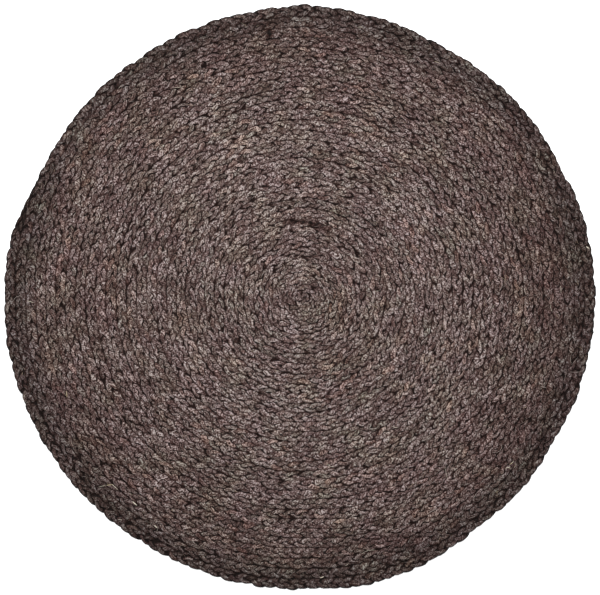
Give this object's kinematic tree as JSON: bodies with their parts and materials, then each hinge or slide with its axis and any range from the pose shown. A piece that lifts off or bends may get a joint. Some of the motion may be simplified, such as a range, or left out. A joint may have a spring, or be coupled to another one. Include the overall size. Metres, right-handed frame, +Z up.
{
  "type": "round braided jute rug",
  "caption": "Round flat floor rug of dark jute: a long plaited braid wound in a coil and sewn row to row, with a ribbed top and an uneven lobed edge.",
  "frame": {"origin": "on the floor, under the middle of the rug's box", "axes": "+Z up, +Y the far side and +X the right of the rug as seen from above; the braid's end is sewn down at the far left"},
  "size_m": [1.214, 1.1998, 0.011],
  "materials": {
    "dark_jute": "dull dry jute, dyed a near-black brown, plaited in three strands with fine loose fibre"
  },
  "bodies": {
    "root": {"braided_rug": "dark_jute"}
  },
  "joints": []
}
